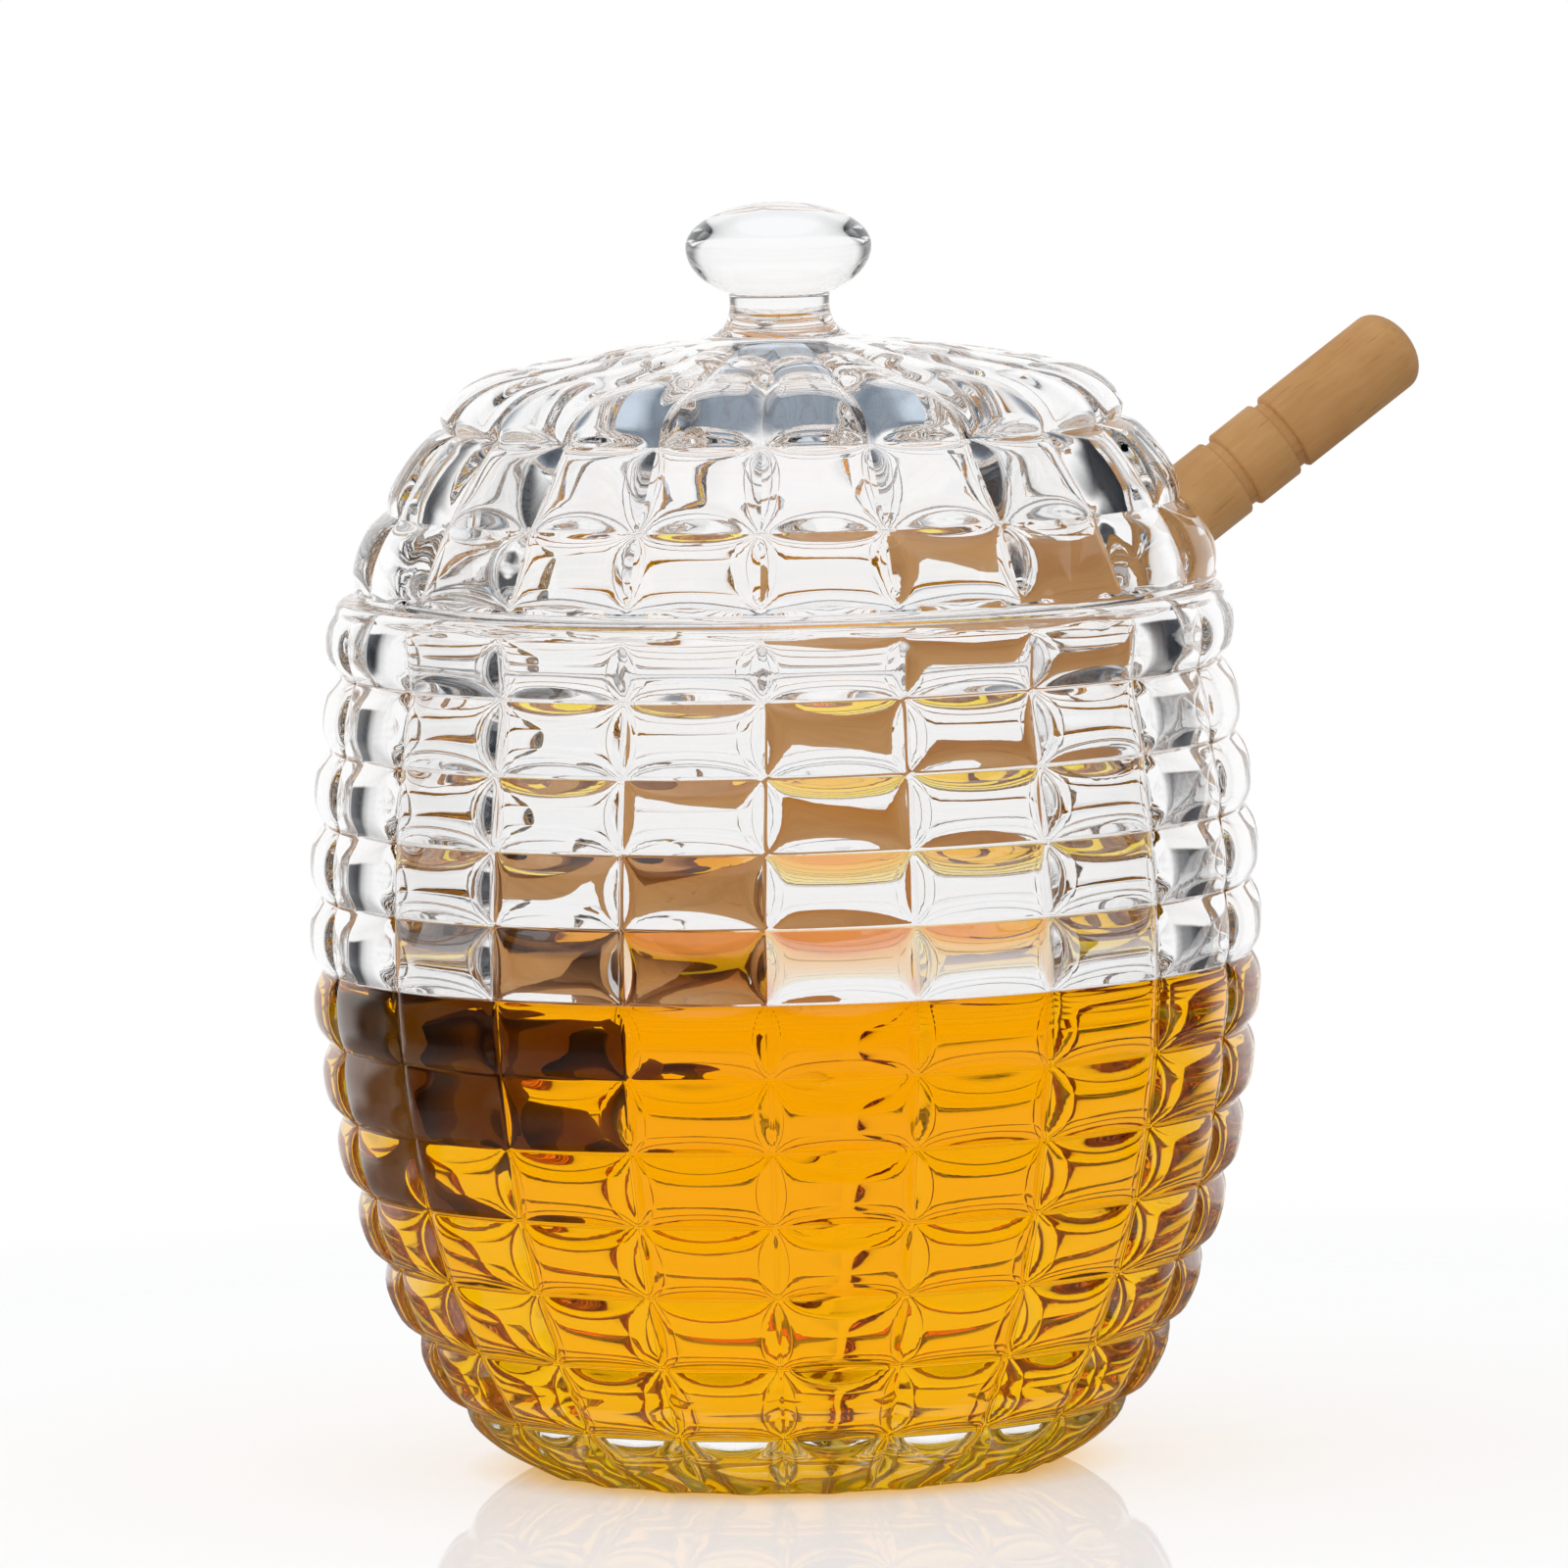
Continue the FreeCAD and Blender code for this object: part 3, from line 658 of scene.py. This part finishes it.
def notch_cutter():
    """A disc lying across X, stretched down, drawn out through the rim and turned in line with the dipper."""
    slope = math.radians(DIPPER_SLOPE)
    reach = NOTCH_DEPTH + NOTCH_REACH
    handle_z = CROSS_Z + valley_at(JAR_HEIGHT) * math.tan(slope)
    half = HANDLE_RADIUS + NOTCH_SIDE_GAP
    middle_z = handle_z + HANDLE_RADIUS / math.cos(slope) + NOTCH_TOP_GAP - half
    bottom_z = JAR_HEIGHT - PLUG_DEPTH - NOTCH_BELOW
    deselect()
    bpy.ops.mesh.primitive_circle_add(vertices=64, radius=half * MM, fill_type="NGON")
    cutter = bpy.context.active_object
    bpy.ops.object.mode_set(mode="EDIT")
    bpy.ops.mesh.select_all(action="SELECT")
    bpy.ops.transform.rotate(value=math.radians(90), orient_axis="Y", center_override=(0, 0, 0))
    bpy.ops.transform.translate(value=Vector((mouth_radius - NOTCH_DEPTH, 0, middle_z)) * MM)
    bpy.ops.object.mode_set(mode="OBJECT")
    for vertex in cutter.data.vertices:
        vertex.select = vertex.co.z < middle_z * MM
    bpy.ops.object.mode_set(mode="EDIT")
    bpy.ops.transform.translate(value=(0, 0, (bottom_z - middle_z) * MM))
    bpy.ops.mesh.select_all(action="SELECT")
    bpy.ops.mesh.extrude_region_move(TRANSFORM_OT_translate={"value": (reach * MM, 0, 0)})
    bpy.ops.mesh.select_all(action="SELECT")
    bpy.ops.mesh.normals_make_consistent(inside=False)
    bpy.ops.object.mode_set(mode="OBJECT")
    cutter.rotation_euler = (0, 0, math.radians(DIPPER_AZIMUTH - 90))
    return cutter


def pressed_lid(glass):
    """The lid with its knob, and the notch that the dipper passes through."""
    stations = lid_stations()
    lid = spun("pressed_glass_lid", stations, spin_steps)
    press_cells(lid, stations, COLUMN_TURN + LID_TURN, LID_SHIFT)
    cutter = notch_cutter()
    pick_up(lid)
    notch = lid.modifiers.new("notch", "BOOLEAN")
    notch.object, notch.operation, notch.solver = cutter, "DIFFERENCE", "EXACT"
    bpy.ops.object.modifier_apply(modifier=notch.name)
    bpy.data.objects.remove(cutter)
    pick_up(lid)
    bpy.ops.object.shade_smooth_by_angle(angle=math.radians(50))
    put(lid, glass, "lid")


# ---------------------------------------------------------------- dipper
def head_at(place):
    """Radius of the dipper's head at a place along it."""
    share = 2 * place / HEAD_LENGTH - 1
    return HEAD_RADIUS - (HEAD_RADIUS - HEAD_END_RADIUS) * share ** 2


def disc_outline(start, thickness):
    """One disc of the head, with its edge rounded."""
    points = []
    for share in DISC_SHARES:
        swell = DISC_SWELL * (1 - (2 * share - 1) ** 2)
        corner = DISC_EDGE if share in (DISC_SHARES[0], DISC_SHARES[-1]) else 0
        place = start + share * thickness
        points.append((head_at(place) + swell - corner, place))
    return points


def slot_outline(start):
    """The slot above a disc, down to the core."""
    end = start + SLOT_WIDTH
    return [(CORE_RADIUS + TOOL_ROUND, start), (CORE_RADIUS, start + TOOL_ROUND),
            (CORE_RADIUS, end - TOOL_ROUND), (CORE_RADIUS + TOOL_ROUND, end)]


def ring_outline(start):
    """A turned ring in the handle: one side of it, and the same mirrored."""
    lower = [(HANDLE_RADIUS - depth, start - out) for out, depth in RING_SLOPE]
    upper = [(HANDLE_RADIUS - depth, start + RING_WIDTH + out) for out, depth in RING_SLOPE]
    return lower + upper[::-1]


def dipper_outline():
    """Half outline, from the end of the head up the dipper's own axis."""
    thickness = (HEAD_LENGTH - (DISC_COUNT - 1) * SLOT_WIDTH) / DISC_COUNT
    points = [(0, 0), (HEAD_END_RADIUS - HEAD_END_FLAT, 0), (HEAD_END_RADIUS - TOOL_ROUND, TOOL_ROUND)]
    for i in range(DISC_COUNT):
        start = i * (thickness + SLOT_WIDTH)
        points += disc_outline(start, thickness)
        if i < DISC_COUNT - 1:
            points += slot_outline(start + thickness)
    shoulder = HEAD_LENGTH + HEAD_SHOULDER
    points += [(HANDLE_RADIUS + HANDLE_FOOT[0], shoulder - HANDLE_FOOT[1]),
               (HANDLE_RADIUS, shoulder + HANDLE_FOOT[1])]
    for place in RING_PLACES:
        points += ring_outline(DIPPER_LENGTH - place)
    return points + oval(0, DIPPER_LENGTH - HANDLE_CAP, HANDLE_RADIUS, HANDLE_CAP, 0, 90, 12)


def turned_dipper():
    """The dipper, turned upright, then leaned over and swung to its azimuth.

    The angles are the other way round here, as transform.rotate turns that way without a window.
    """
    dipper = turned("turned_beech_dipper", dipper_outline(), DIPPER_SPIN_STEPS)
    lean, swing = math.radians(DIPPER_SLOPE - 90), math.radians(90 - DIPPER_AZIMUTH)
    bpy.ops.object.mode_set(mode="EDIT")
    bpy.ops.mesh.select_all(action="SELECT")
    bpy.ops.transform.translate(value=(0, 0, -HEAD_REACH * MM))
    bpy.ops.transform.rotate(value=lean, orient_axis="Y", center_override=(0, 0, 0))
    bpy.ops.transform.translate(value=(0, 0, CROSS_Z * MM))
    bpy.ops.transform.rotate(value=swing, orient_axis="Z", center_override=(0, 0, 0))
    bpy.ops.object.mode_set(mode="OBJECT")
    bpy.ops.object.shade_smooth_by_angle(angle=math.radians(40))
    put(dipper, beech(), "dipper")


# ---------------------------------------------------------------- studio
def acrylic_sheet():
    """A glossy white acrylic sheet: it holds the shadow and a faint mirror image, and fades out around. Near
    the jar a pool of honey-coloured light is painted into its colour.

    Camera and glass see it part way to plain white, and the glass's own gloss sees little of it.
    """
    sheet = new_material("glossy white acrylic sheet")
    spot = add_node(sheet, "ShaderNodeTexCoord")
    away = add_node(sheet, "ShaderNodeVectorMath", {"operation": "LENGTH"}, {0: spot.outputs["Object"]})
    fade = add_node(sheet, "ShaderNodeMapRange",
                    {"interpolation_type": "SMOOTHSTEP", 1: SHEET_FADE[0] * MM, 2: SHEET_FADE[1] * MM},
                    {0: away.outputs["Value"]})
    # Painted light: a pool of honey-coloured light, painted into the sheet's colour near the jar and fading
    # to white further out.
    painted_honey_light = add_node(sheet, "ShaderNodeValToRGB", None, {"Fac": away.outputs["Value"]})
    painted_honey_light.color_ramp.interpolation = "EASE"
    for element, position, hex_code in zip(painted_honey_light.color_ramp.elements, PAINTED_LIGHT_SPAN, ("#F3C23C", "#FFFFFF")):
        element.position, element.color = position * MM, colour(hex_code)
    white = add_node(sheet, "ShaderNodeBsdfDiffuse", None, {"Color": painted_honey_light.outputs["Color"]})
    mirror = add_node(sheet, "ShaderNodeBsdfGlossy", {"Color": colour("#FFFFFF"), "Roughness": 0.025})
    weight = add_node(sheet, "ShaderNodeFresnel", {"IOR": 1.2})
    polished = add_node(sheet, "ShaderNodeMixShader", None,
                        {0: weight.outputs["Fac"], 1: white.outputs["BSDF"], 2: mirror.outputs["BSDF"]})
    # Its glow carries the same painted honey-coloured light near the jar.
    glow = add_node(sheet, "ShaderNodeEmission", {"Strength": 1.0}, {"Color": painted_honey_light.outputs["Color"]})
    ray = add_node(sheet, "ShaderNodeLightPath")
    seen_through = add_node(sheet, "ShaderNodeMath", {"operation": "MULTIPLY", 1: SHEET_SEEN_THROUGH},
                            {0: ray.outputs["Is Transmission Ray"]})
    seen = add_node(sheet, "ShaderNodeMath", {"operation": "MULTIPLY_ADD", 1: SHEET_SEEN},
                    {0: ray.outputs["Is Camera Ray"], 2: seen_through.outputs["Value"]})
    in_gloss = add_node(sheet, "ShaderNodeMath", {"operation": "MULTIPLY", 1: SHEET_DIMMED},
                        {0: ray.outputs["Is Reflection Ray"]})
    black = add_node(sheet, "ShaderNodeBsdfDiffuse", {"Color": colour("#000000")})
    lit = add_node(sheet, "ShaderNodeMixShader", None,
                   {0: seen.outputs["Value"], 1: polished.outputs[0], 2: glow.outputs["Emission"]})
    dimmed = add_node(sheet, "ShaderNodeMixShader", None,
                      {0: in_gloss.outputs["Value"], 1: lit.outputs[0], 2: black.outputs["BSDF"]})
    nothing = add_node(sheet, "ShaderNodeBsdfTransparent")
    faded = add_node(sheet, "ShaderNodeMixShader", None,
                     {0: fade.outputs["Result"], 1: dimmed.outputs[0], 2: nothing.outputs["BSDF"]})
    return finish_material(sheet, faded.outputs[0])


def studio_floor():
    """A round sheet under the jar, far wider than its shadow."""
    deselect()
    bpy.ops.mesh.primitive_circle_add(vertices=96, radius=SHEET_RADIUS * MM, fill_type="NGON")
    floor = bpy.context.active_object
    floor.name = "studio_floor"
    bpy.ops.object.mode_set(mode="EDIT")
    bpy.ops.transform.translate(value=(0, 0, -SEAT_GAP * MM))
    bpy.ops.object.mode_set(mode="OBJECT")
    floor.data.materials.append(acrylic_sheet())


def studio_world():
    """A white backdrop behind, a dim room around and in front, and a blue-grey ceiling panel.

    Glass shows that room. The camera sees plain white, and rough surfaces are lit evenly.
    """
    world = bpy.data.worlds.new("studio")
    bpy.context.scene.world = world
    world.use_nodes = True
    world.node_tree.nodes.clear()
    place = add_node(world, "ShaderNodeTexCoord")
    way = add_node(world, "ShaderNodeSeparateXYZ", None, {0: place.outputs["Generated"]})
    rise = add_node(world, "ShaderNodeMath", {"operation": "ARCSINE"}, {0: way.outputs["Z"]})
    ray = add_node(world, "ShaderNodeLightPath")
    gloss, seen = ray.outputs["Is Reflection Ray"], ray.outputs["Is Camera Ray"]

    def change(first, second, source, low=None, high=None):
        """From one colour to another by a share, or softly between two values of another source."""
        if low is not None:
            softly = {"interpolation_type": "SMOOTHSTEP", 1: low, 2: high}
            source = add_node(world, "ShaderNodeMapRange", softly, {0: source}).outputs["Result"]
        settings, links = {"data_type": "RGBA"}, {0: source}
        for socket, value in ((6, first), (7, second)):
            (settings if isinstance(value, tuple) else links)[socket] = value
        return add_node(world, "ShaderNodeMix", settings, links).outputs[2]

    def upwards(first, second, low, high):
        """The same between two heights above the level, in degrees."""
        return change(first, second, rise.outputs["Value"], math.radians(low), math.radians(high))

    level = change(colour("#43464B"), colour("#17191C"), gloss)
    below = change(colour("#FFFFFF"), colour("#303338"), gloss)
    around = upwards(upwards(below, level, -12, -9.5), colour("#303338"), 2, 9)
    behind = upwards(colour("#FFFFFF"), colour("#7E8A97"), 28, 40)
    room = upwards(change(around, behind, way.outputs["Y"], 0.48, 0.72), colour("#CBD8E6"), 46, 56)

    # Rough surfaces: a light that is stronger from the upper left of the front.
    rough = add_node(world, "ShaderNodeMath", {"operation": "GREATER_THAN", 1: 0.5},
                     {0: ray.outputs["Diffuse Depth"]})
    no_room = add_node(world, "ShaderNodeMath", {"operation": "MAXIMUM"},
                       {0: seen, 1: rough.outputs["Value"]})
    toward = add_node(world, "ShaderNodeVectorMath", {"operation": "DOT_PRODUCT", 1: (-0.62, -0.36, 0.70)},
                      {0: place.outputs["Generated"]})
    shade = add_node(world, "ShaderNodeMapRange", {1: -0.7, 2: 0.9, 3: 0.55, 4: 1.15},
                     {0: toward.outputs["Value"]})
    grey = add_node(world, "ShaderNodeCombineColor", None, {i: shade.outputs["Result"] for i in range(3)})
    plain_light = change(grey.outputs["Color"], colour("#FFFFFF"), seen)
    light = add_node(world, "ShaderNodeBackground", {"Strength": 1.0},
                     {"Color": change(room, plain_light, no_room.outputs["Value"])})
    add_node(world, "ShaderNodeOutputWorld", None, {"Surface": light.outputs["Background"]})


def studio_camera():
    """A long lens, a little above the jar and looking slightly down."""
    camera_data = bpy.data.cameras.new("camera")
    camera_data.sensor_width = 36
    camera_data.lens = CAMERA_LENS
    camera_data.clip_end = 50
    camera = bpy.data.objects.new("camera", camera_data)
    bpy.context.scene.collection.objects.link(camera)
    camera.matrix_world = (Matrix.Translation(Vector(CAMERA_PLACE) * MM)
                           @ Matrix.Rotation(math.radians(90 - CAMERA_PITCH), 4, "X")
                           @ Matrix.Rotation(math.radians(CAMERA_ROLL), 4, "Z"))
    bpy.context.scene.camera = camera


glass = clear_glass("pressed soda-lime glass", "#FFFFFF", 0.25)
pressed_jar(glass)
put(turned("liquid_honey", honey_outline(), HONEY_SPIN_STEPS), liquid_honey(), "honey")
pressed_lid(glass)
turned_dipper()
studio_floor()
studio_world()
studio_camera()

bpy.context.scene.view_settings.view_transform = "Standard"
cycles = bpy.context.scene.cycles
cycles.max_bounces = 32
cycles.transmission_bounces = 32
cycles.glossy_bounces = 12
cycles.blur_glossy = 0.0         # clear glass keeps its sharp reflections
